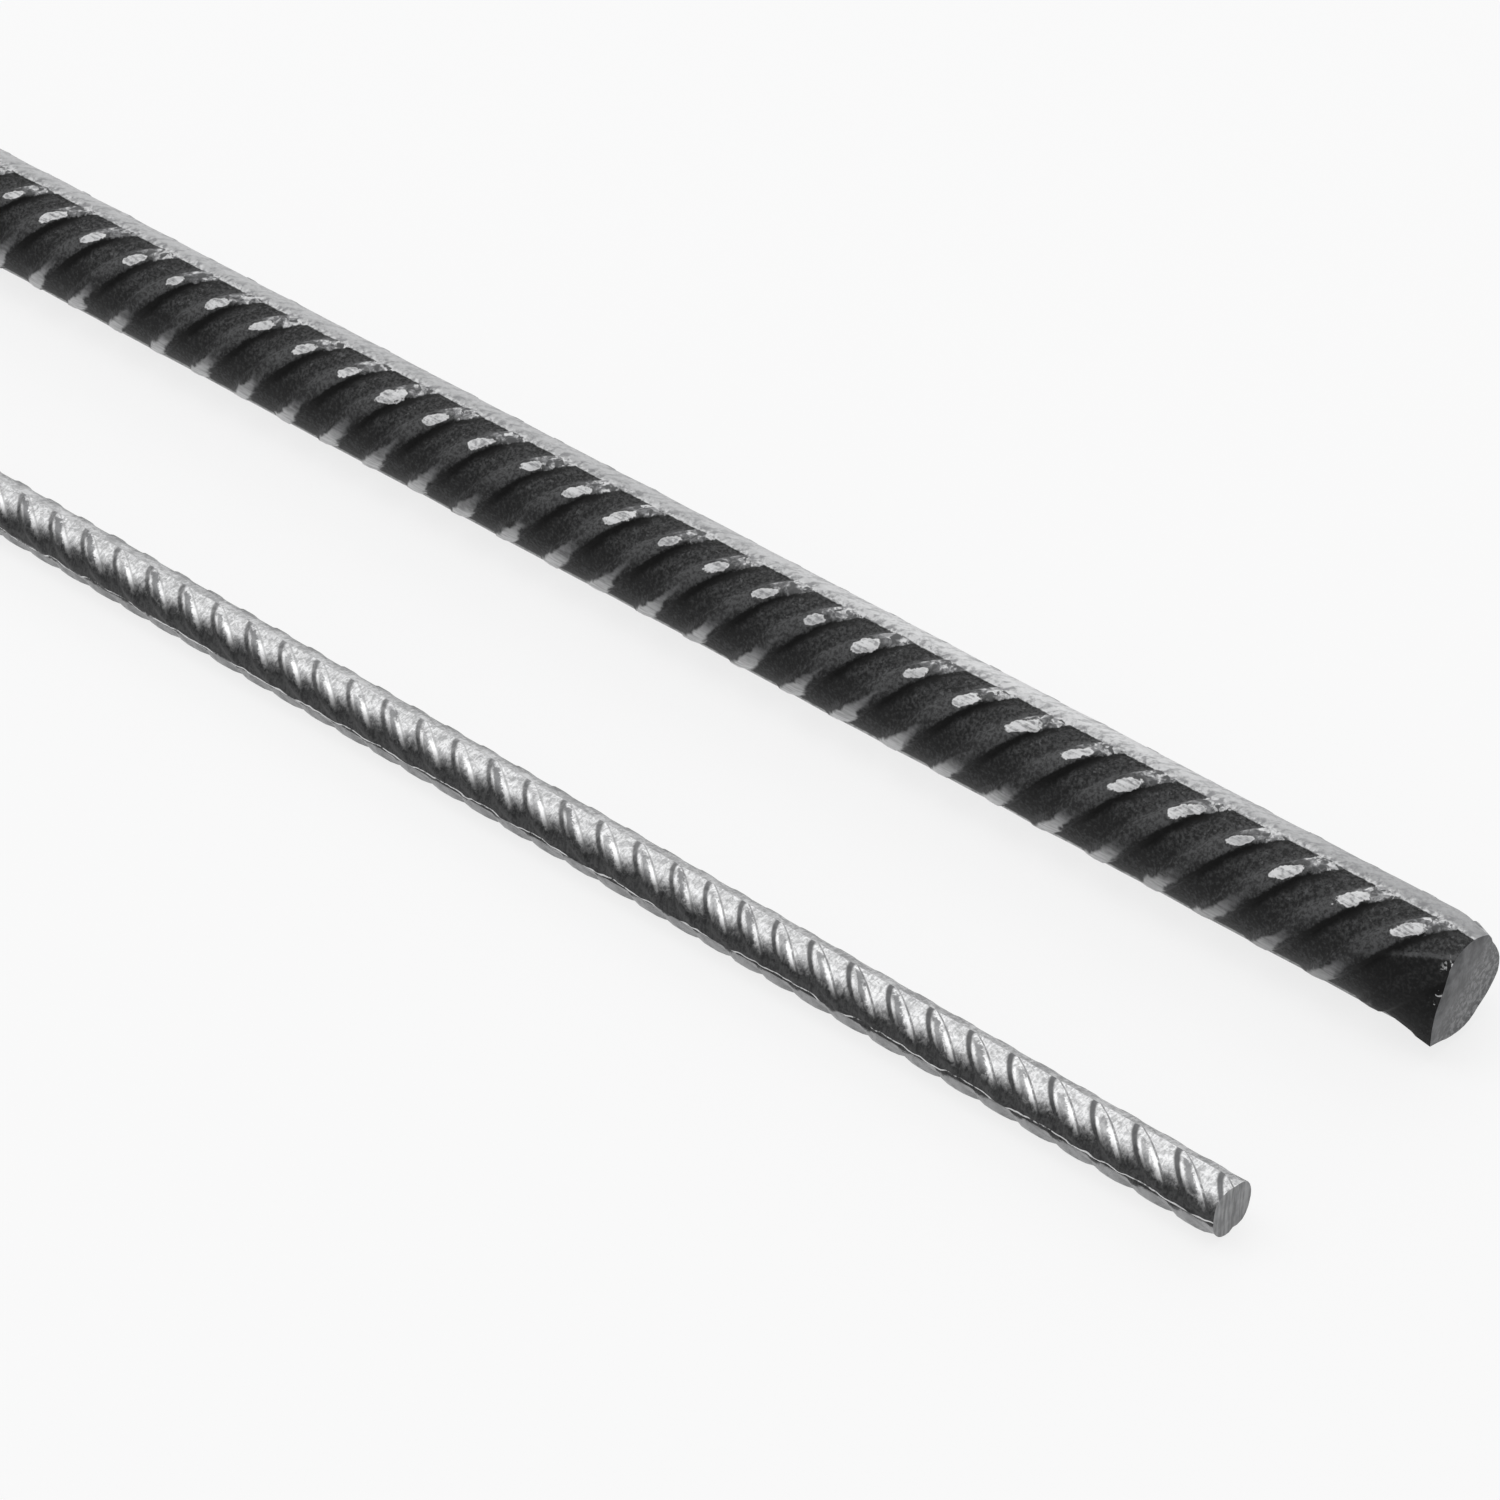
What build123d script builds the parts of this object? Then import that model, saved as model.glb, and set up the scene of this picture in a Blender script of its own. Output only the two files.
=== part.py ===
from build123d import *
from math import sqrt
import os

# Two loose reinforcing bars, a thick one behind and a thin one in front, side by side with flush ends.
# Millimetres, +X along the bars to the end in view, +Y to the back, +Z up, floor at Z = 0.

# Lengths and places
bar_length = 1000.0
axis_spacing = 36.5

# Thick bar, 12 mm nominal: a round core with two rolled ribs along it
thick_core_diameter = 11.6
long_rib_height = 0.42
long_rib_crown_width = 1.9
long_rib_foot_width = 3.0
long_rib_crown_radius = 0.2
long_rib_foot_radius = 0.3
long_rib_lean_angle = 20.0

# Thin bar, 6 mm nominal: round
thin_diameter = 6.0

# Derived sizes
thick_core_radius = thick_core_diameter / 2
thin_radius = thin_diameter / 2
crown_half = long_rib_crown_width / 2
foot_half = long_rib_foot_width / 2
crown_level = thick_core_radius + long_rib_height
foot_level = sqrt(thick_core_radius**2 - foot_half**2)
root_level = foot_level - long_rib_height
flank_run = (foot_half - crown_half) / (crown_level - foot_level)
root_half = crown_half + flank_run * (crown_level - root_level)
bundle_depth = axis_spacing + thick_core_radius + thin_radius
thick_axis_y = bundle_depth / 2 - thick_core_radius
thin_axis_y = thin_radius - bundle_depth / 2

# Section of the thick bar: the core and two opposite ribs, the upper one leaning to the back
rib_points = [
    (-root_half, root_level),
    (root_half, root_level),
    (crown_half, crown_level),
    (-crown_half, crown_level),
]
with BuildSketch(Plane.YZ) as thick_section:
    Circle(thick_core_radius)
    with Locations(Rotation(0, 0, -long_rib_lean_angle), Rotation(0, 0, 180 - long_rib_lean_angle)):
        Polygon(*rib_points, align=None)
    rounded_level = thick_core_radius + long_rib_height / 2
    corners = thick_section.vertices()
    fillet([v for v in corners if Vector(v.X, v.Y, v.Z).length > rounded_level], long_rib_crown_radius)
    corners = thick_section.vertices()
    fillet([v for v in corners if Vector(v.X, v.Y, v.Z).length < rounded_level], long_rib_foot_radius)

# The thick bar lies on its lower rib
thick_straight = extrude(thick_section.sketch, amount=bar_length / 2, dir=(1, 0, 0), both=True)
thick_axis_z = -thick_straight.bounding_box().min.Z
thick_bar = Pos(0, thick_axis_y, thick_axis_z) * thick_straight

# The thin bar lies in front of it
thin_section = Plane.YZ * Circle(thin_radius)
thin_straight = extrude(thin_section, amount=bar_length / 2, dir=(1, 0, 0), both=True)
thin_bar = Pos(0, thin_axis_y, thin_radius) * thin_straight

os.makedirs("parts", exist_ok=True)
export_step(thick_bar, "parts/thick_bar.step")
export_step(thin_bar, "parts/thin_bar.step")
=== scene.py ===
import math

import bmesh
import bpy
import numpy as np
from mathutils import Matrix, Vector


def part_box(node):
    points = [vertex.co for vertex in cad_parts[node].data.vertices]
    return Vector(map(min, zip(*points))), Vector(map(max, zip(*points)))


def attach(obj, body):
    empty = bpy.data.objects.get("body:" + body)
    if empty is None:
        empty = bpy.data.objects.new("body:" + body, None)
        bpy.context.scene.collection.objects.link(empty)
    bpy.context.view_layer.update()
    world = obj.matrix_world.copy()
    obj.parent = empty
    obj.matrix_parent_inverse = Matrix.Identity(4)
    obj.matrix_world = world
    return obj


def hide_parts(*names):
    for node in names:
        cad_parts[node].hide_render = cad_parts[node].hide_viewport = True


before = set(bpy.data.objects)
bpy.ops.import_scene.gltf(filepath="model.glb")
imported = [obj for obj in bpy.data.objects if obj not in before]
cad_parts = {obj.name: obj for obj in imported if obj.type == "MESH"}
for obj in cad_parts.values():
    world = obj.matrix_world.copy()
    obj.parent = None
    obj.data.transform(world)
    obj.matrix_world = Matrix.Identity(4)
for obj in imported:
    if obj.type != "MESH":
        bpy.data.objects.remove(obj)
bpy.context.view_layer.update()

# Thick bar: one hot-rolled steel bar of 12 mm nominal size, black with mill scale. The rolls press two long ribs
# into it and, between them, two rows of slanted ribs with tapered ends. Both ends are cropped in a shear, which
# drags a lip out of the lower front edge.
thick_low, thick_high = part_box("thick_bar")
thick_axis = ((thick_low[1] + thick_high[1]) / 2, (thick_low[2] + thick_high[2]) / 2)
thick_core = 0.00584
thick_pitch = 0.006726
thick_lead = 0.00482
thick_first_rib = -0.00941
thick_rib_height = 0.00055
thick_rib_unevenness = 0.05
thick_rib_wander = 0.00012
thick_crest_half = 0.00105
thick_near_flank = 0.00062
thick_far_flank = 0.00090
thick_long_rib_angle = math.radians(110.0)
thick_long_rib_height = 0.00042
thick_long_rib_crown_half = 0.00095
thick_long_rib_foot_half = 0.00150
thick_length = thick_high[0] - thick_low[0]
thick_end_angles = np.radians([-180, -165, -145, -122, -100, -75, -55, -46, -38, -28, -15, 0,
                               12, 25, 38, 52, 70, 90, 110, 128, 142, 160, 180])
thick_end_radii = np.array([5.40, 5.55, 5.15, 4.85, 5.25, 5.38, 5.75, 6.15, 6.85, 6.10, 5.45, 4.95,
                            4.62, 4.45, 4.68, 5.32, 5.57, 5.50, 5.38, 5.35, 4.85, 5.02, 5.40]) / 1000.0
thick_end_reach = (0.0035, 0.0045)
thick_cut_slope = 0.00018
thick_cut_ridge = 0.00005


def ease(share):
    """Smooth step of a share held between 0 and 1: 3 s^2 - 2 s^3."""
    held = np.clip(share, 0.0, 1.0)
    return held * held * (3.0 - 2.0 * held)


def rolled_skin(name, near_x, length, axis, rows, angles, lead, pitch, twist, radius, cut):
    """Closed skin of a rolled bar, on a grid of rib rows by angles round the bar.

    Grid point (row, angle) stands at s = row * pitch + lead(angle) from the near end, held between the two cut
    ends, and radius(s, angle) away from the axis, in the direction -cos, sin of angle + twist * s in the Y-Z plane.
    Each end is closed by the rim drawn in to the axis in rings, moved along X by cut(end, share of radius, angle).
    The rib_grid map holds the row count and the angle in turns of every corner.
    """
    count, turn = np.meshgrid(rows, angles, indexing="ij")
    s = np.clip(count * pitch + lead(turn), -length, 0.0)
    count = (s - lead(turn)) / pitch
    away = radius(s, turn)
    aim = turn + twist * s
    skin = np.stack((near_x + s, axis[0] - away * np.cos(aim), axis[1] + away * np.sin(aim)), axis=-1)
    points = [skin.reshape(-1, 3)]
    maps = [np.stack((count, turn / math.tau), axis=-1).reshape(-1, 2)]
    grids = [(0, *skin.shape[:2], 0)]
    shares = np.array([1.0, 0.985, 0.95, 0.8, 0.6, 0.4, 0.2, 0.0])
    for end in (0.0, -length):
        share, ring = np.meshgrid(shares, angles, indexing="ij")
        reach = radius(np.full_like(ring, end), ring) * share
        bearing = ring + twist * end
        depth = near_x + end + cut(end, share, ring)
        face = np.stack((depth, axis[0] - reach * np.cos(bearing), axis[1] + reach * np.sin(bearing)), axis=-1)
        grids.append((sum(len(p) for p in points), *face.shape[:2], 1))
        points.append(face.reshape(-1, 3))
        maps.append(np.stack((share, ring / math.tau), axis=-1).reshape(-1, 2))
    quads, slots = [], []
    for start, tall, wide, slot in grids:
        corner = start + np.arange(tall * wide).reshape(tall, wide)
        patch = np.stack((corner[:-1, :-1], corner[1:, :-1], corner[1:, 1:], corner[:-1, 1:]), axis=-1)
        patch = patch.reshape(-1, 4)
        quads.append(patch)
        slots.append(np.full(len(patch), slot))
    points, maps, quads = np.concatenate(points), np.concatenate(maps), np.concatenate(quads)
    mesh = bpy.data.meshes.new(name)
    mesh.from_pydata(points, [], quads)
    mesh.polygons.foreach_set("material_index", np.concatenate(slots).astype(np.int32))
    mesh.uv_layers.new(name="rib_grid").data.foreach_set("uv", maps[quads.ravel()].ravel().astype(np.float32))
    shell = bmesh.new()
    shell.from_mesh(mesh)
    bmesh.ops.remove_doubles(shell, verts=shell.verts, dist=1e-6)
    bmesh.ops.recalc_face_normals(shell, faces=shell.faces)
    shell.to_mesh(mesh)
    shell.free()
    mesh.polygons.foreach_set("use_smooth", np.ones(len(mesh.polygons), dtype=bool))
    mesh.set_sharp_from_angle(angle=math.radians(62.0))
    piece = bpy.data.objects.new(name, mesh)
    bpy.context.scene.collection.objects.link(piece)
    return piece


def thick_row_lead(angle):
    """How far a rib row has moved along the bar at this angle: a zigzag that rises from the lower long rib to the
    upper one over the front and falls back over the rear, so that the two rows of ribs meet as a herringbone."""
    from_upper = (angle - thick_long_rib_angle + math.pi) % math.tau - math.pi
    return thick_lead * (math.pi / 2 - np.abs(from_upper))


thick_draw = np.random.default_rng(12)
thick_rib_draw = thick_draw.normal(size=(2, 400, 3))


def unevenness(draw, waves, size):
    """A slow swell over a bar: a sum of sines with whole numbers of waves round it and seeded lengths along it."""
    round_waves = draw.integers(0, 6, size=waves)
    along = draw.uniform(60.0, 700.0, size=waves)
    start = draw.uniform(0.0, math.tau, size=waves)

    def swell(s, angle):
        return size * sum(np.sin(along[i] * s + round_waves[i] * angle + start[i]) for i in range(waves)) / waves

    return swell


thick_swell = unevenness(thick_draw, 9, 0.00010)


def end_share(s, length, reach):
    """How far the skin has gone over to the cut outline: 1 at both ends, 0 at reach from them, by the 1.5th power."""
    return np.clip(1.0 - np.minimum(-s, length + s) / reach, 0.0, 1.0) ** 1.5


def thick_radius(s, angle):
    """Distance of the skin from the axis: core, plus the higher of the long rib and the slanted rib.

    The slanted rib is a bank with a flat crest, a steep flank to the near end and a gentle one to the far end; its
    height falls with the 0.8th power of the cosine of the angle from the middle of its row. Towards both cut ends the
    skin goes over to the outline that the shear leaves: flat in front, with a lip dragged out below.
    """
    from_upper = (angle - thick_long_rib_angle + math.pi) % math.tau - math.pi
    front = from_upper < 0
    count = (s - thick_row_lead(angle) - thick_first_rib) / thick_pitch + np.where(front, 0.0, 0.5)
    which = np.rint(count).astype(int)
    draw = thick_rib_draw[np.where(front, 0, 1), which % 400]
    off = (count - which) * thick_pitch - thick_rib_wander * np.clip(draw[..., 0], -1.5, 1.5)
    from_middle = np.abs(np.abs(from_upper) - math.pi / 2)
    taper = np.cos(np.clip(from_middle, 0.0, math.pi / 2)) ** 0.8
    crest = thick_crest_half * (0.55 + 0.45 * taper)
    near = thick_near_flank * (0.8 + 0.2 * taper)
    far = thick_far_flank * (0.6 + 0.4 * taper)
    bank = ease((crest + near - off) / near) * ease((crest + far + off) / far)
    bank = bank * thick_rib_height * taper * (1.0 + thick_rib_unevenness * np.clip(draw[..., 1], -1.5, 1.5))
    from_rib = thick_core * np.abs((angle - thick_long_rib_angle + math.pi / 2) % math.pi - math.pi / 2)
    fall = thick_long_rib_foot_half - thick_long_rib_crown_half
    long_rib = thick_long_rib_height * ease((thick_long_rib_foot_half - from_rib) / fall)
    height = (bank ** 4 + long_rib ** 4) ** 0.25
    rolled = thick_core + height + thick_swell(s, angle)
    squeezed = np.interp((angle + math.pi) % math.tau - math.pi, thick_end_angles, thick_end_radii)
    reach = thick_end_reach[0] + thick_end_reach[1] * np.clip(np.cos(angle), 0.0, 1.0)
    return rolled + (squeezed - rolled) * end_share(s, thick_length, reach)


def thick_cut(end, share, angle):
    """The sheared end face: a shallow slope across it and fine ridges left by the blade, held flat at the rim."""
    outward = 1.0 if end == 0.0 else -1.0
    slope = thick_cut_slope * share * np.sin(angle + 0.6)
    ridges = thick_cut_ridge * share * (1.0 - share) * np.sin(9.0 * share * np.cos(angle) + 2.0)
    hold = 1.0 - ease((share - 0.9) / 0.1)
    return outward * (slope + ridges) * hold


rib_marks = np.array([-1.95, -1.50, -1.05, 0.0, 1.05, 1.36, 1.67]) / (thick_pitch * 1000.0)
rib_marks = np.sort(np.concatenate((rib_marks, rib_marks + 0.5)) % 1.0)
thick_ribs = np.arange(-math.ceil(thick_length / thick_pitch) - 3, 5)
thick_rows = (thick_ribs[:, None] + rib_marks).ravel() + thick_first_rib / thick_pitch
rib_side = np.array([-15.0, -12.0, -9.5, 0.0, 9.5, 12.0])
row_side = np.linspace(15.0, 165.0, 18)
upper_rib = math.degrees(thick_long_rib_angle)
lower_rib = upper_rib - 180.0
thick_angles = np.radians(np.concatenate((lower_rib + rib_side, lower_rib + row_side,
                                          upper_rib + rib_side[1:], upper_rib + row_side)))
thick_bar = rolled_skin("thick_rebar", thick_high[0], thick_length, thick_axis, thick_rows, thick_angles,
                        thick_row_lead, thick_pitch, 0.0, thick_radius, thick_cut)


def add_node(tree, kind, inputs=None, **options):
    """One shader node; inputs gives its sockets plain values or the outputs that feed them."""
    made = tree.nodes.new("ShaderNode" + kind)
    for option, value in options.items():
        setattr(made, option, value)
    for socket, value in (inputs or {}).items():
        if isinstance(value, bpy.types.NodeSocket):
            tree.links.new(value, made.inputs[socket])
        else:
            made.inputs[socket].default_value = value
    return made


def reckon(tree, operation, *terms):
    """The output of one sum on numbers or outputs."""
    return add_node(tree, "Math", dict(enumerate(terms)), operation=operation).outputs[0]


def product(tree, first, *others):
    """Masks or numbers multiplied together."""
    for other in others:
        first = reckon(tree, "MULTIPLY", first, other)
    return first


def shifted(tree, value, by, amount):
    """A value moved by an amount of another: value + by * amount."""
    return reckon(tree, "MULTIPLY_ADD", by, amount, value)


def between(tree, value, low, high, to_low=0.0, to_high=1.0):
    """A smooth step of a value from low to high, put out as to_low to to_high."""
    sockets = {"Value": value, "From Min": low, "From Max": high, "To Min": to_low, "To Max": to_high}
    return add_node(tree, "MapRange", sockets, interpolation_type="SMOOTHSTEP").outputs["Result"]


def blend_colour(tree, share, first, second):
    """Two colours mixed by a share."""
    return add_node(tree, "Mix", {0: share, 6: first, 7: second}, data_type="RGBA").outputs[2]


def noise(tree, place, scale, detail, **more):
    """A noise over a place, from 0 to 1 with its middle at a half, with about scale swells to each unit of length."""
    return add_node(tree, "TexNoise", {"Vector": place, "Scale": scale, "Detail": detail, **more}).outputs["Fac"]


def centred(tree, value):
    """A noise or share with its middle moved to 0."""
    return reckon(tree, "SUBTRACT", value, 0.5)


def draw_lot(tree, number):
    """One draw from 0 to 1 for each number, the same in every run."""
    return add_node(tree, "TexWhiteNoise", {"W": number}, noise_dimensions="1D").outputs["Value"]


# Fine speckle of rolled or cut steel, used by the mill scale and both cut ends: a coarse cloud and a finer grain.
steel_grain = bpy.data.node_groups.new("steel grain", "ShaderNodeTree")
for socket, kind in (("Vector", "Vector"), ("Scale", "Float")):
    steel_grain.interface.new_socket(socket, in_out="INPUT", socket_type="NodeSocket" + kind)
for socket in ("Cloud", "Grain"):
    steel_grain.interface.new_socket(socket, in_out="OUTPUT", socket_type="NodeSocketFloat")
grain_in = steel_grain.nodes.new("NodeGroupInput")
grain_out = steel_grain.nodes.new("NodeGroupOutput")
grain_place, grain_scale = grain_in.outputs["Vector"], grain_in.outputs["Scale"]
cloud = noise(steel_grain, grain_place, grain_scale, 3.0, Roughness=0.55)
grain = noise(steel_grain, grain_place, product(steel_grain, grain_scale, 3.6), 2.0, Roughness=0.65)
steel_grain.links.new(cloud, grain_out.inputs["Cloud"])
steel_grain.links.new(grain, grain_out.inputs["Grain"])


def new_finish(name):
    """An empty material with its Principled shader: (material, node tree, shader)."""
    material = bpy.data.materials.new(name)
    material.use_nodes = True
    return material, material.node_tree, material.node_tree.nodes["Principled BSDF"]


mill_scale, tree, shader = new_finish("mill scale with worn ribs, painted light and shade")
place = add_node(tree, "TexCoord").outputs["Object"]
lengthwise = add_node(tree, "SeparateXYZ", {0: place}).outputs["X"]
grid = add_node(tree, "SeparateXYZ", {0: add_node(tree, "UVMap", uv_map="rib_grid").outputs["UV"]})
row_count, turn = grid.outputs["X"], grid.outputs["Y"]
speckle = add_node(tree, "Group", {"Vector": place, "Scale": 760.0}, node_tree=steel_grain)
cloud, grain = speckle.outputs["Cloud"], speckle.outputs["Grain"]
ragged = centred(tree, noise(tree, place, 1500.0, 4.0, Roughness=0.7))
smear = centred(tree, noise(tree, place, 430.0, 3.0, Roughness=0.6))
chips = noise(tree, place, 2000.0, 3.0, Roughness=0.6)
lumps = noise(tree, place, 1150.0, 2.0, Roughness=0.6, Distortion=0.7)
slant = shifted(tree, lengthwise, turn, -0.036)
stroke_place = add_node(tree, "CombineXYZ", {"X": product(tree, slant, 950.0), "Y": product(tree, turn, 18.0)})
strokes = noise(tree, stroke_place.outputs["Vector"], 1.0, 3.0, Roughness=0.6)
drag_place = add_node(tree, "Mapping", {"Vector": place, "Scale": (0.14, 1.0, 1.0)}).outputs["Vector"]
drag = noise(tree, drag_place, 2600.0, 3.0, Roughness=0.6)

# Where a spot lies: degrees round the bar from the upper long rib or the nearer one, pitches along the bar from its
# rib's crest, and metres from the nearer end, counted below 0. Each rib draws two lots.
degrees = product(tree, turn, 360.0)
on_front = reckon(tree, "LESS_THAN", degrees, upper_rib)
on_back = reckon(tree, "SUBTRACT", 1.0, on_front)
round_from_rib = reckon(tree, "SUBTRACT", degrees, upper_rib)
from_upper = reckon(tree, "ABSOLUTE", round_from_rib)
from_long = reckon(tree, "PINGPONG", round_from_rib, 90.0)
ribs = reckon(tree, "SUBTRACT", row_count, thick_first_rib / thick_pitch)
ribs = shifted(tree, ribs, on_front, 0.5)
whole = reckon(tree, "FLOOR", ribs)
off_crest = centred(tree, reckon(tree, "SUBTRACT", ribs, whole))
off_width = reckon(tree, "ABSOLUTE", off_crest)
along = reckon(tree, "SUBTRACT", reckon(tree, "ABSOLUTE", lengthwise), thick_length / 2)
near_end = between(tree, shifted(tree, along, ragged, 0.004), -0.0105, -0.0060)
rib_number = shifted(tree, whole, on_front, 731.0)
lot = draw_lot(tree, rib_number)
polish = draw_lot(tree, reckon(tree, "ADD", rib_number, 0.37))

# A spot high on each crest is worn bare and painted with a highlight; the crest crumbles grey from there to the long
# rib.
spot_middle = shifted(tree, 43.5, lot, 5.0)
spot_reach = shifted(tree, 8.0, polish, 5.0)
spot_width = shifted(tree, 0.120, polish, 0.045)
spot_along = reckon(tree, "DIVIDE", reckon(tree, "SUBTRACT", from_upper, spot_middle), spot_reach)
spot_across = reckon(tree, "DIVIDE", reckon(tree, "SUBTRACT", off_crest, 0.015), spot_width)
spot = reckon(tree, "ADD", product(tree, spot_along, spot_along), product(tree, spot_across, spot_across))
spot = shifted(tree, shifted(tree, spot, ragged, 2.0), smear, 3.0)
spot_rim = between(tree, spot, 0.35, 0.85)
spot = between(tree, spot, 1.08, 0.86)
crest = between(tree, shifted(tree, off_width, ragged, 0.22), 0.215, 0.175)
crumbs = product(tree, between(tree, shifted(tree, from_upper, ragged, 26.0), 42.0, 28.0),
                 between(tree, shifted(tree, off_width, ragged, 0.12), 0.215, 0.180))
flecks = product(tree, crumbs, between(tree, shifted(tree, lumps, from_upper, -0.006), 0.36, 0.44))

# Low down a pale band, worn and with a painted reflection of the floor, widens downwards and is duller near the ends.
low_edge = shifted(tree, shifted(tree, off_width, ragged, 0.07), smear, 0.32)
low_edge = reckon(tree, "SUBTRACT", low_edge, between(tree, from_upper, 84.0, 140.0, 0.075, 0.175))
low_start = shifted(tree, shifted(tree, from_upper, ragged, 16.0), smear, 70.0)
low_start = shifted(tree, low_start, lot, 14.0)
low_wear_and_reflection = product(tree, between(tree, low_edge, 0.042, -0.042), between(tree, low_start, 82.0, 128.0),
                  reckon(tree, "SUBTRACT", 1.0, near_end), between(tree, along, -0.050, -0.012, 1.0, 0.62))

# The long ribs carry a worn pale strip, with a painted reflection, that dips into the slanted ribs; the rear above
# has a painted grey sheen.
dip = product(tree, crest, between(tree, shifted(tree, lumps, smear, 1.2), 0.46, 0.66, 0.0, -13.0))
long_edge = shifted(tree, reckon(tree, "ADD", from_long, dip), ragged, 5.0)
long_wear_and_reflection = between(tree, long_edge, 16.2, 15.0)
# Painted grey sheen on the rear above the long rib.
back_edge = shifted(tree, shifted(tree, from_upper, ragged, 30.0), smear, 60.0)
back_sheen = product(tree, on_back, between(tree, back_edge, 56.0, 26.0),
                   between(tree, shifted(tree, grain, lumps, 0.8), 0.70, 1.05, 0.30, 0.92))

# Painted shadow lies along the near foot of each rib and fades into the valley. The front has painted shade at its
# middle height and where the shear has bent it, below a fold that runs up to the end.
foot_shadow = product(tree, between(tree, shifted(tree, off_crest, ragged, 0.12), 0.150, 0.190),
                 between(tree, shifted(tree, off_crest, smear, 0.30), 0.43, 0.24),
                 between(tree, from_upper, 112.0, 84.0), between(tree, from_upper, 16.0, 42.0, 0.30, 1.0))
# The far side of each crest is painted lighter, as the side that catches the light.
bank = between(tree, reckon(tree, "ABSOLUTE", reckon(tree, "ADD", off_crest, 0.06)), 0.32, 0.14)
past_fold = shifted(tree, shifted(tree, from_upper, ragged, 8.0), along, 4300.0)
from_fold = reckon(tree, "ABSOLUTE", reckon(tree, "SUBTRACT", past_fold, 45.0))
fold = product(tree, near_end, on_front, between(tree, from_fold, 3.5, 1.0))
end_shade = product(tree, near_end, on_front, between(tree, past_fold, 45.0, 51.0))
shade = product(tree, on_front, between(tree, from_upper, 66.0, 90.0), between(tree, from_upper, 118.0, 108.0))
shade = reckon(tree, "MAXIMUM", shade, end_shade)

# Some of these greys also paint light: the darkest scale tone shade, the soot black shadow, the crest grey lit banks,
# and the rubbed greys highlights, reflections and sheen.
scale_and_shade_dark = (0.016, 0.0162, 0.0165, 1.0)
scale_grey = (0.066, 0.067, 0.068, 1.0)
crest_scale_and_lit_grey = (0.105, 0.106, 0.108, 1.0)
shadow_black = (0.004, 0.004, 0.004, 1.0)
rubbed_dark = (0.12, 0.121, 0.124, 1.0)
wear_and_sheen_grey = (0.26, 0.262, 0.268, 1.0)
mid_wear_and_highlight = (0.50, 0.502, 0.508, 1.0)
bright_wear_and_highlight = (0.70, 0.702, 0.708, 1.0)
pale_wear_and_reflection = (0.78, 0.782, 0.788, 1.0)
strip_dull = (0.34, 0.342, 0.348, 1.0)
strip_grey = (0.48, 0.482, 0.488, 1.0)
strip_pale = (0.68, 0.682, 0.688, 1.0)
colour = blend_colour(tree, between(tree, grain, 0.36, 0.68), scale_and_shade_dark, scale_grey)
dust = product(tree, between(tree, chips, 0.58, 0.70),
               between(tree, shifted(tree, from_upper, smear, 60.0), 88.0, 60.0), 0.75)
colour = blend_colour(tree, dust, colour, rubbed_dark)
# Painted light on the far side of each crest.
colour = blend_colour(tree, product(tree, bank, between(tree, grain, 0.35, 0.65, 0.25, 0.80)), colour, crest_scale_and_lit_grey)
# Painted shade at the front's middle height and below the fold near the end; painted shadow at the rib feet.
colour = blend_colour(tree, product(tree, shade, between(tree, grain, 0.40, 0.72, 0.85, 0.30)), colour, scale_and_shade_dark)
colour = blend_colour(tree, product(tree, end_shade, 0.6), colour, shadow_black)
colour = blend_colour(tree, product(tree, fold, between(tree, chips, 0.3, 0.6, 0.1, 0.6)), colour, rubbed_dark)
colour = blend_colour(tree, product(tree, foot_shadow, 0.92), colour, shadow_black)
# Painted reflection of the floor on the worn low band, paler downwards.
low_tone = blend_colour(tree, between(tree, from_upper, 94.0, 138.0), wear_and_sheen_grey, pale_wear_and_reflection)
colour = blend_colour(tree, product(tree, low_wear_and_reflection, between(tree, drag, 0.25, 0.65, 0.45, 0.95)), colour, low_tone)
crumb_tone = blend_colour(tree, between(tree, lumps, 0.40, 0.54), crest_scale_and_lit_grey, wear_and_sheen_grey)
colour = blend_colour(tree, crumbs, colour, crumb_tone)
fleck_tone = blend_colour(tree, between(tree, chips, 0.35, 0.60), wear_and_sheen_grey, bright_wear_and_highlight)
colour = blend_colour(tree, flecks, colour, fleck_tone)
colour = blend_colour(tree, back_sheen, colour, wear_and_sheen_grey)
# The strip's tone, varying along the bar, is wear with a painted reflection.
strip = blend_colour(tree, between(tree, along, -0.110, -0.060), strip_grey, strip_pale)
strip = blend_colour(tree, between(tree, along, -0.050, -0.004), strip, strip_dull)
strip_rim = between(tree, shifted(tree, from_long, ragged, 16.0), 10.0, 15.0, 0.15, 1.0)
rim_tone = blend_colour(tree, between(tree, chips, 0.30, 0.58), wear_and_sheen_grey, bright_wear_and_highlight)
strip = blend_colour(tree, strip_rim, strip, rim_tone)
stroke_dark = product(tree, between(tree, shifted(tree, strokes, chips, 0.4), 0.74, 0.56),
                      between(tree, shifted(tree, from_long, smear, 14.0), 0.0, 13.0, 0.40, 0.85))
strip = blend_colour(tree, stroke_dark, strip, wear_and_sheen_grey)
colour = blend_colour(tree, long_wear_and_reflection, colour, strip)
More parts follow.
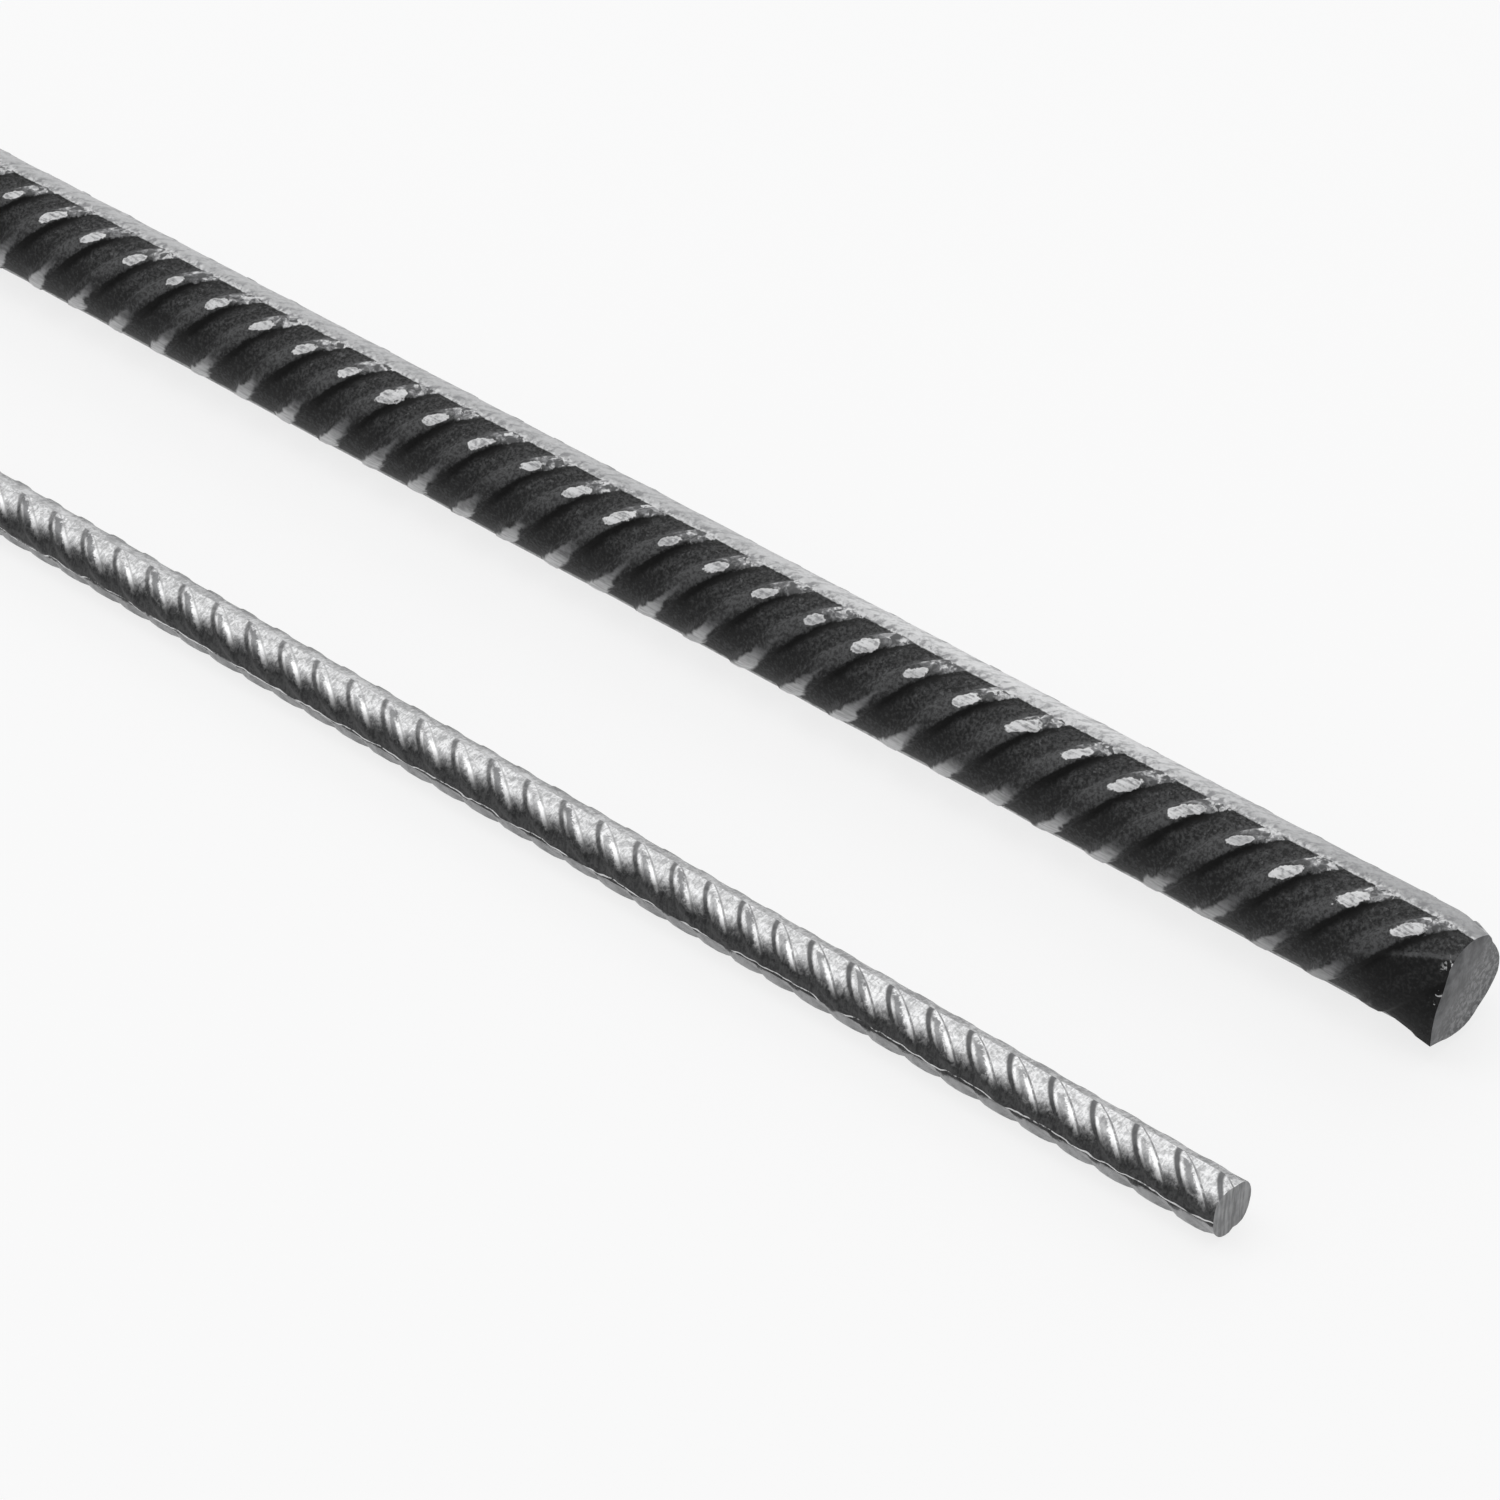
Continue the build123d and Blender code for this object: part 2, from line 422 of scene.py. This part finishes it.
# The spot's tone: worn bare steel with a painted highlight on it.
spot_tone = blend_colour(tree, between(tree, polish, 0.0, 0.45), mid_wear_and_highlight, bright_wear_and_highlight)
spot_tone = blend_colour(tree, between(tree, shifted(tree, drag, chips, 0.6), 0.62, 0.90), wear_and_sheen_grey, spot_tone)
spot_tone = blend_colour(tree, product(tree, spot_rim, 0.55), spot_tone, pale_wear_and_reflection)
colour = blend_colour(tree, spot, colour, spot_tone)
rim_flecks = product(tree, between(tree, along, -0.0011, -0.0005), between(tree, lumps, 0.60, 0.65),
                     between(tree, from_upper, 118.0, 108.0), between(tree, from_upper, 40.0, 60.0))
colour = blend_colour(tree, rim_flecks, colour, mid_wear_and_highlight)
bare = reckon(tree, "MAXIMUM", spot, reckon(tree, "MAXIMUM", long_wear_and_reflection, low_wear_and_reflection))
sheen = between(tree, shifted(tree, grain, bare, -0.3), 0.0, 0.7, 0.42, 0.66)
tree.links.new(colour, shader.inputs["Base Color"])
tree.links.new(product(tree, bare, 0.20), shader.inputs["Metallic"])
tree.links.new(sheen, shader.inputs["Roughness"])
shader.inputs["Specular IOR Level"].default_value = 0.14
relief = shifted(tree, cloud, grain, 0.6)
bump = add_node(tree, "Bump", {"Height": relief, "Strength": 0.6, "Distance": 0.00016})
tree.links.new(bump.outputs["Normal"], shader.inputs["Normal"])

# The sheared face is smooth and dark at the upper front, where the blade went in, and torn and paler low at the back.
sheared_dark, tree, shader = new_finish("sheared end of the thick bar")
place = add_node(tree, "TexCoord").outputs["Object"]
speckle = add_node(tree, "Group", {"Vector": place, "Scale": 520.0}, node_tree=steel_grain)
cloud, grain = speckle.outputs["Cloud"], speckle.outputs["Grain"]
streak_place = add_node(tree, "Mapping", {"Vector": place, "Scale": (1.0, 1.0, 0.22)}).outputs["Vector"]
torn = shifted(tree, cloud, noise(tree, streak_place, 1500.0, 3.0), 0.25)
spread = add_node(tree, "SeparateXYZ", {0: place})
to_back = reckon(tree, "SUBTRACT", spread.outputs["Y"], thick_axis[0])
low_back = reckon(tree, "SUBTRACT", to_back, reckon(tree, "SUBTRACT", spread.outputs["Z"], thick_axis[1]))
torn_side = between(tree, shifted(tree, low_back, cloud, 0.006), -0.002, 0.006)
cut_dark = (0.085, 0.087, 0.090, 1.0)
cut_grey = (0.17, 0.172, 0.177, 1.0)
torn_dark = (0.10, 0.102, 0.105, 1.0)
torn_grey = (0.30, 0.302, 0.307, 1.0)
smooth_tone = blend_colour(tree, between(tree, torn, 0.45, 0.85), cut_dark, cut_grey)
torn_tone = blend_colour(tree, between(tree, grain, 0.38, 0.66), torn_dark, torn_grey)
tree.links.new(blend_colour(tree, torn_side, smooth_tone, torn_tone), shader.inputs["Base Color"])
shader.inputs["Metallic"].default_value = 0.35
tree.links.new(between(tree, grain, 0.2, 0.8, 0.42, 0.68), shader.inputs["Roughness"])
bump = add_node(tree, "Bump", {"Height": torn, "Strength": 0.6, "Distance": 0.0002})
tree.links.new(bump.outputs["Normal"], shader.inputs["Normal"])
thick_bar.data.materials.append(mill_scale)
thick_bar.data.materials.append(sheared_dark)
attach(thick_bar, "root")
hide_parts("thick_bar")

# Thin bar: one cold-rolled steel bar of 6 mm nominal size, bright and scale-free. Three rolls press three rows of
# crescent ribs into it and leave a fine seam between the rows; the bar turns slowly as it leaves them. Its ends are
# cut square.
thin_low, thin_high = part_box("thin_bar")
thin_axis = ((thin_low[1] + thin_high[1]) / 2, (thin_low[2] + thin_high[2]) / 2)
thin_length = thin_high[0] - thin_low[0]
thin_core = 0.00286
thin_pitch = 0.004941
thin_starts = 4
thin_lead = -thin_starts * thin_pitch / math.tau
thin_twist = math.radians(65.0)
thin_seams = np.radians([-2.0, 103.0, 230.0, 358.0])
thin_row_middles = np.radians([50.5, 50.5, 320.0])
thin_row_pitches = np.array([thin_pitch, thin_pitch, 0.0046])
thin_first_ribs = np.array([-0.00346, -0.00346, -0.0029])
thin_rib_heights = np.array([0.00026, 0.00008, 0.00057])
thin_back_rise = 0.00018
thin_back_degrees = (140.0, 170.0)
thin_row_sinks = np.array([0.0, 0.0, 0.00021])
thin_rib_half = 0.00150
thin_far_flank = 0.00062
thin_near_flank = 0.00085
thin_short_steps = ((-0.0691, -0.0515), (0.00205, 0.0))
thin_seam_height = 0.00012
thin_seam_half = 0.026
thin_end_angles = np.radians([0, 15, 40, 60, 80, 100, 120, 140, 160, 200, 220, 235, 248, 259, 272, 300, 325, 350, 360])
thin_end_radii = np.array([2.70, 2.75, 3.05, 2.95, 2.62, 2.45, 2.62, 2.90, 2.95, 3.05, 3.28, 3.32, 3.10, 2.75, 3.00,
                           3.00, 2.85, 2.70, 2.70]) / 1000.0
thin_end_reach = 0.0018
thin_cut_ridge = 0.00003
thin_draw = np.random.default_rng(6)
thin_swell = unevenness(thin_draw, 7, 0.00004)


def thin_row_lead(angle):
    """The rows run round the bar as a screw of four starts, so that the grid closes on itself after one turn."""
    return thin_lead * angle


def thin_radius(s, angle):
    """Distance of the skin from the axis: core, plus crescent ribs, plus the seams.

    A rib is a rounded bank, broad in the middle of its row and pointed at the seams, its height falling with the
    root of a cosine that ends at the seam. A few ribs stand closer together, as on the roll that made them, the lower
    row has a pitch of its own, and the back row rises away from the upper seam. The last two millimetres go over to
    the outline that the blade leaves.
    """
    around = (angle - thin_seams[0]) % math.tau + thin_seams[0]
    rows_round = np.interp(around, thin_seams, [0.0, 1.0, 2.0, 3.0])
    row = np.clip(rows_round.astype(int), 0, 2)
    from_middle = rows_round % 1.0 - 0.5
    closer = np.interp(s, *thin_short_steps)
    count = (s - closer - thin_row_lead(around - thin_row_middles[row]) - thin_first_ribs[row]) / thin_row_pitches[row]
    off = (count - np.rint(count)) * thin_row_pitches[row]
    taper = np.maximum(np.cos(math.pi * from_middle), 0.0)
    half = thin_rib_half * (0.30 + 0.70 * taper ** 0.7)
    squeeze = 0.45 + 0.55 * taper
    bank = ease((half - off) / (thin_near_flank * squeeze)) * ease((half + off) / (thin_far_flank * squeeze))
    start, full = np.radians(thin_back_degrees)
    back = np.where(row == 1, thin_back_rise * ease((around - start) / (full - start)), 0.0)
    rib = ((thin_rib_heights[row] + back) * bank - thin_row_sinks[row]) * taper ** 0.5
    seam = thin_seam_height * np.exp(-(((0.5 - np.abs(from_middle)) / thin_seam_half) ** 2))
    rolled = thin_core + rib + seam + thin_swell(s, angle)
    cut = np.interp(angle % math.tau, thin_end_angles, thin_end_radii)
    return rolled + (cut - rolled) * end_share(s, thin_length, thin_end_reach)


def thin_cut(end, share, angle):
    """The cut end face: flat, with upright ridges left by the blade."""
    outward = 1.0 if end == 0.0 else -1.0
    hold = 1.0 - ease((share - 0.9) / 0.1)
    return outward * thin_cut_ridge * hold * np.sin(14.0 * share * np.cos(angle))


thin_ribs = np.arange(-math.ceil(thin_length / thin_pitch) - 7, 7)
thin_rows = (thin_ribs[:, None] + np.arange(11) / 11.0).ravel()
thin_sector = np.concatenate(([0.0, 0.025, 0.055], np.linspace(0.055, 0.945, 11)[1:], [0.975]))
thin_angles = np.concatenate([thin_sector + turn for turn in range(3)] + [[3.0]])
thin_angles = np.interp(thin_angles, [0.0, 1.0, 2.0, 3.0], thin_seams)
thin_bar = rolled_skin("thin_rebar", thin_high[0], thin_length, thin_axis, thin_rows, thin_angles, thin_row_lead,
                       thin_pitch, thin_twist, thin_radius, thin_cut)

# Painted shade low on the sides of the bright steel, by how far a spot lies round from the bar's middle height: full
# from 7 degrees below it to 24 above, clear below -15 and above 58 plus the reach. Flanks that face the near end have
# less.
painted_side_shade = bpy.data.node_groups.new("painted side shade", "ShaderNodeTree")
for socket, kind in (("From Axis", "Vector"), ("Normal", "Vector"), ("Ragged", "Float"), ("Reach", "Float")):
    painted_side_shade.interface.new_socket(socket, in_out="INPUT", socket_type="NodeSocket" + kind)
painted_side_shade.interface.new_socket("Painted Shade", in_out="OUTPUT", socket_type="NodeSocketFloat")
shade_in = painted_side_shade.nodes.new("NodeGroupInput")
shade_out = painted_side_shade.nodes.new("NodeGroupOutput")
spoke = add_node(painted_side_shade, "SeparateXYZ", {0: shade_in.outputs["From Axis"]})
turned = add_node(painted_side_shade, "SeparateXYZ", {0: shade_in.outputs["Normal"]}).outputs["X"]
slope = reckon(painted_side_shade, "ARCTAN2", spoke.outputs["Z"], reckon(painted_side_shade, "ABSOLUTE", spoke.outputs["Y"]))
slope = shifted(painted_side_shade, slope, shade_in.outputs["Ragged"], math.radians(20.0))
shade_top = reckon(painted_side_shade, "ADD", shade_in.outputs["Reach"], math.radians(58.0))
upper = between(painted_side_shade, shifted(painted_side_shade, slope, turned, math.radians(38.0)), shade_top, math.radians(24.0))
lower = between(painted_side_shade, slope, math.radians(-15.0), math.radians(-7.0))
painted_side_shade.links.new(product(painted_side_shade, upper, lower), shade_out.inputs["Painted Shade"])

bright_steel, tree, shader = new_finish("bright cold-rolled steel")
place = add_node(tree, "TexCoord").outputs["Object"]
grid = add_node(tree, "SeparateXYZ", {0: add_node(tree, "UVMap", uv_map="rib_grid").outputs["UV"]})
row_count, turn = grid.outputs["X"], grid.outputs["Y"]
scratch_place = add_node(tree, "Mapping", {"Vector": place, "Scale": (1.0, 0.16, 0.16)}).outputs["Vector"]
scratches = noise(tree, scratch_place, 4200.0, 2.0)
ragged = noise(tree, place, 2000.0, 4.0, Roughness=0.7, Distortion=0.8)
uneven = centred(tree, ragged)
wobble = noise(tree, place, 260.0, 2.0)
tone = shifted(tree, product(tree, ragged, 1.05), scratches, 0.45)

# Where a spot lies: metres from the near end, counted below 0, degrees round the bar, share of the way between two
# seams, and millimetres along the bar from its rib's middle line and from the rib's two edges.
along = reckon(tree, "SUBTRACT", add_node(tree, "SeparateXYZ", {0: place}).outputs["X"], thin_high[0])
degrees = product(tree, turn, 360.0)
seam_degrees = [math.degrees(seam) for seam in thin_seams]
rows = [add_node(tree, "MapRange", {"Value": degrees, "From Min": low, "From Max": high}).outputs["Result"]
        for low, high in zip(seam_degrees, seam_degrees[1:])]
row_place = reckon(tree, "FRACT", reckon(tree, "ADD", rows[0], reckon(tree, "ADD", rows[1], rows[2])))
past_front = between(tree, rows[1], 0.0, 0.03)
lower_row = between(tree, rows[2], 0.0, 0.03)
taper = reckon(tree, "SINE", product(tree, row_place, math.pi))
(short_from, short_to), (short_by, no_more) = thin_short_steps
closer = add_node(tree, "MapRange", {"Value": along, "From Min": short_from, "From Max": short_to,
                                     "To Min": short_by, "To Max": no_more}).outputs["Result"]
first_rib = (float(thin_row_lead(thin_row_middles[0])) - thin_first_ribs[0]) / thin_pitch + 0.5
ribs = reckon(tree, "ADD", row_count, shifted(tree, first_rib, closer, -1.0 / thin_pitch))
whole = reckon(tree, "FLOOR", ribs)
off_rib = product(tree, centred(tree, reckon(tree, "FRACT", ribs)), thin_pitch * 1000.0)
half = product(tree, shifted(tree, 0.30, reckon(tree, "POWER", taper, 0.7), 0.70), thin_rib_half * 1000.0)
near_side = reckon(tree, "SUBTRACT", off_rib, half)
far_side = reckon(tree, "ADD", off_rib, half)
rib_lot = draw_lot(tree, whole)
crown_lot = draw_lot(tree, reckon(tree, "ADD", whole, 0.41))

# Each rib has a grey patch on its crown, painted white highlights beside it and painted shade at its feet, fainter
# away from the near end.
crown_off = reckon(tree, "ADD", off_rib, shifted(tree, 0.30, crown_lot, -0.80))
crown_off = reckon(tree, "ABSOLUTE", shifted(tree, crown_off, uneven, 1.6))
crown_up = reckon(tree, "SUBTRACT", row_place, shifted(tree, 0.50, rib_lot, 0.20))
crown_up = shifted(tree, reckon(tree, "ABSOLUTE", crown_up), uneven, 0.35)
crown = product(tree, between(tree, crown_off, 0.62, 0.40), between(tree, crown_up, 0.30, 0.20),
                between(tree, rib_lot, 0.0, 0.8, 0.55, 1.0))
highlight_streak = reckon(tree, "ABSOLUTE", shifted(tree, near_side, ragged, 0.9))
highlight_streak = product(tree, between(tree, highlight_streak, 0.46, 0.14), between(tree, shifted(tree, taper, ragged, 0.6), 1.0, 1.2))
far_highlight = reckon(tree, "ABSOLUTE", reckon(tree, "ADD", shifted(tree, far_side, ragged, 0.6), -1.15))
far_highlight = product(tree, between(tree, far_highlight, 0.30, 0.10),
                between(tree, shifted(tree, taper, ragged, 0.9), 1.05, 1.35, 0.0, 0.8))
highlight_streak = product(tree, reckon(tree, "MAXIMUM", highlight_streak, far_highlight), between(tree, rib_lot, 0.9, 0.2, 0.45, 1.0))
near_foot = between(tree, reckon(tree, "ABSOLUTE", reckon(tree, "ADD", near_side, 0.06)), 0.24, 0.09)
near_foot = product(tree, near_foot, between(tree, ragged, 0.36, 0.56, 0.25, 0.80),
                    between(tree, along, -0.100, -0.035, 0.45, 1.0))
far_foot = between(tree, reckon(tree, "ABSOLUTE", reckon(tree, "SUBTRACT", far_side, 0.25)), 0.52, 0.20)
far_foot = product(tree, far_foot, between(tree, along, -0.100, -0.035, 0.75, 1.0), 0.9)
back_ribs = product(tree, between(tree, degrees, *thin_back_degrees), reckon(tree, "SUBTRACT", 1.0, lower_row))
ribbed = reckon(tree, "MAXIMUM", reckon(tree, "SUBTRACT", 1.0, past_front), back_ribs)
foot_shade = product(tree, reckon(tree, "MAXIMUM", near_foot, far_foot), ribbed)

# A broken painted highlight runs along the front seam; painted shade lies above it, reaching higher away from the
# near end.
from_seam = reckon(tree, "SUBTRACT", degrees, seam_degrees[0] + 2.5)
from_seam = reckon(tree, "ABSOLUTE", shifted(tree, from_seam, centred(tree, wobble), 30.0))
seam_highlight = product(tree, between(tree, from_seam, 1.6, 0.6),
                    between(tree, shifted(tree, wobble, ragged, 0.6), 0.62, 0.74), 0.85)
from_axis = add_node(tree, "VectorMath", {0: place, 1: (0.0, *thin_axis)}, operation="SUBTRACT").outputs["Vector"]
shade_reach = between(tree, along, -0.085, -0.040, math.radians(11.0), 0.0)
side_shade = add_node(tree, "Group", {"From Axis": from_axis, "Normal": add_node(tree, "NewGeometry").outputs["Normal"],
                                "Ragged": uneven, "Reach": shade_reach}, node_tree=painted_side_shade).outputs["Painted Shade"]

steel_dark = (0.40, 0.402, 0.407, 1.0)
steel_bright = (0.84, 0.842, 0.847, 1.0)
highlight_white = (0.92, 0.922, 0.926, 1.0)
foot_shade_grey = (0.10, 0.101, 0.104, 1.0)
crown_grey = (0.17, 0.172, 0.176, 1.0)
back_dull = (0.36, 0.362, 0.367, 1.0)
back_grey = (0.66, 0.662, 0.667, 1.0)
under_shade_grey = (0.36, 0.362, 0.367, 1.0)
shade_dark = (0.035, 0.0355, 0.0365, 1.0)
shade_grey = (0.085, 0.0855, 0.0865, 1.0)
colour = blend_colour(tree, between(tree, tone, 0.56, 0.96), steel_dark, steel_bright)
colour = blend_colour(tree, product(tree, crown, 0.85), colour, crown_grey)
# Painted white highlights beside each rib.
colour = blend_colour(tree, highlight_streak, colour, highlight_white)
back_tone = blend_colour(tree, between(tree, shifted(tree, tone, wobble, 0.6), 0.85, 1.25), back_dull, back_grey)
colour = blend_colour(tree, past_front, colour, back_tone)
# The lower row, on the underside, is painted a darker grey as shade.
colour = blend_colour(tree, lower_row, colour, under_shade_grey)
# Painted shade at the rib feet.
colour = blend_colour(tree, foot_shade, colour, foot_shade_grey)
# Painted shade low on the sides.
shade_tone = blend_colour(tree, between(tree, tone, 0.55, 0.95), shade_dark, shade_grey)
colour = blend_colour(tree, side_shade, colour, shade_tone)
# Painted highlight along the front seam.
colour = blend_colour(tree, seam_highlight, colour, steel_bright)
tree.links.new(colour, shader.inputs["Base Color"])
shader.inputs["Metallic"].default_value = 1.0
tree.links.new(between(tree, tone, 0.5, 1.0, 0.40, 0.54), shader.inputs["Roughness"])
bump = add_node(tree, "Bump", {"Height": tone, "Strength": 0.4, "Distance": 0.00007})
tree.links.new(bump.outputs["Normal"], shader.inputs["Normal"])

# The cut face carries upright streaks from the blade.
sheared_bright, tree, shader = new_finish("cut end of the thin bar")
place = add_node(tree, "TexCoord").outputs["Object"]
cloud = add_node(tree, "Group", {"Vector": place, "Scale": 600.0}, node_tree=steel_grain).outputs["Cloud"]
streak_place = add_node(tree, "Mapping", {"Vector": place, "Scale": (1.0, 1.0, 0.12)}).outputs["Vector"]
streaks = noise(tree, streak_place, 2200.0, 3.0)
torn = shifted(tree, streaks, cloud, 0.4)
blade_dark = (0.14, 0.142, 0.145, 1.0)
blade_grey = (0.36, 0.362, 0.367, 1.0)
tree.links.new(blend_colour(tree, between(tree, torn, 0.5, 0.9), blade_dark, blade_grey), shader.inputs["Base Color"])
shader.inputs["Metallic"].default_value = 0.4
tree.links.new(between(tree, streaks, 0.2, 0.8, 0.38, 0.6), shader.inputs["Roughness"])
bump = add_node(tree, "Bump", {"Height": torn, "Strength": 0.5, "Distance": 0.00015})
tree.links.new(bump.outputs["Normal"], shader.inputs["Normal"])
thin_bar.data.materials.append(bright_steel)
thin_bar.data.materials.append(sheared_bright)
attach(thin_bar, "root")
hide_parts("thin_bar")

# Floor: a plain pale sheet under the bars, just below the lowest rib. The camera and shiny surfaces see it almost
# white, with the bars' faint shadow, while it lights the bars as the pale sheet that it is.
floor_half = 6.0
floor_z = -0.00026
floor_whiteness = 0.78
floor_mesh = bpy.data.meshes.new("pale_floor")
floor_corners = np.array([(-1, -1), (1, -1), (1, 1), (-1, 1)]) * floor_half
floor_mesh.from_pydata(np.column_stack((floor_corners, np.full(4, floor_z))), [], [(0, 1, 2, 3)])
floor = bpy.data.objects.new("pale_floor", floor_mesh)
bpy.context.scene.collection.objects.link(floor)
pale, tree, shader = new_finish("pale matt floor")
shader.inputs["Base Color"].default_value = (0.84, 0.84, 0.845, 1.0)
shader.inputs["Roughness"].default_value = 0.9
shader.inputs["Specular IOR Level"].default_value = 0.1
rays = add_node(tree, "LightPath").outputs
mirrored = reckon(tree, "MAXIMUM", rays["Is Glossy Ray"], rays["Is Transmission Ray"])
seen = product(tree, reckon(tree, "MAXIMUM", rays["Is Camera Ray"], mirrored), floor_whiteness)
white = add_node(tree, "Emission", {"Color": (1.0, 1.0, 1.0, 1.0), "Strength": 1.0})
paler = add_node(tree, "MixShader", {0: seen, 1: shader.outputs["BSDF"], 2: white.outputs["Emission"]})
tree.links.new(paler.outputs["Shader"], tree.nodes["Material Output"].inputs["Surface"])
floor_mesh.materials.append(pale)

# Light: a plain studio, paler overhead than at the horizon, with a wide softbox over the near ends, a narrow strip
# beside it and a panel behind.
world = bpy.data.worlds.new("pale studio")
world.use_nodes = True
bpy.context.scene.world = world
tree = world.node_tree
height = add_node(tree, "SeparateXYZ", {0: add_node(tree, "TexCoord").outputs["Generated"]}).outputs["Z"]
tree.links.new(between(tree, height, 0.05, 0.85, 0.38, 0.62), tree.nodes["Background"].inputs["Strength"])
tree.nodes["Background"].inputs["Color"].default_value = (1.0, 1.0, 1.0, 1.0)


def add_panel(name, place, aim, width, depth, glow):
    """A flat lamp at a place, turned to an aim; glow is its brightness, so its power is glow * pi * area."""
    lamp = bpy.data.lights.new(name, "AREA")
    lamp.shape = "RECTANGLE"
    lamp.size, lamp.size_y = width, depth
    lamp.energy = glow * math.pi * width * depth
    panel = bpy.data.objects.new(name, lamp)
    panel.location = place
    panel.rotation_euler = (Vector(aim) - Vector(place)).to_track_quat("-Z", "Y").to_euler()
    bpy.context.scene.collection.objects.link(panel)


near_ends = (0.42, 0.0, 0.0)
add_panel("softbox above", (-0.38, -0.30, 1.94), near_ends, 1.60, 3.00, 1.0)
add_panel("strip above", (0.26, -0.10, 2.00), near_ends, 0.28, 1.00, 1.2)
add_panel("panel behind", (-0.32, 1.90, 1.10), near_ends, 2.00, 1.90, 1.25)

# Camera: a long lens from the front right, looking down at the near ends of the bars.
camera_lens = bpy.data.cameras.new("camera")
camera_lens.lens = 127.2
camera_lens.sensor_width = 36.0
camera_lens.clip_start = 0.01
camera = bpy.data.objects.new("camera", camera_lens)
camera.location = (0.701333, -0.313909, 0.337289)
camera_aim = Vector((0.420047, 0.004306, 0.00026))
camera.rotation_euler = (camera_aim - Vector(camera.location)).to_track_quat("-Z", "Y").to_euler()
bpy.context.scene.collection.objects.link(camera)
bpy.context.scene.camera = camera
bpy.context.scene.view_settings.view_transform = "Standard"
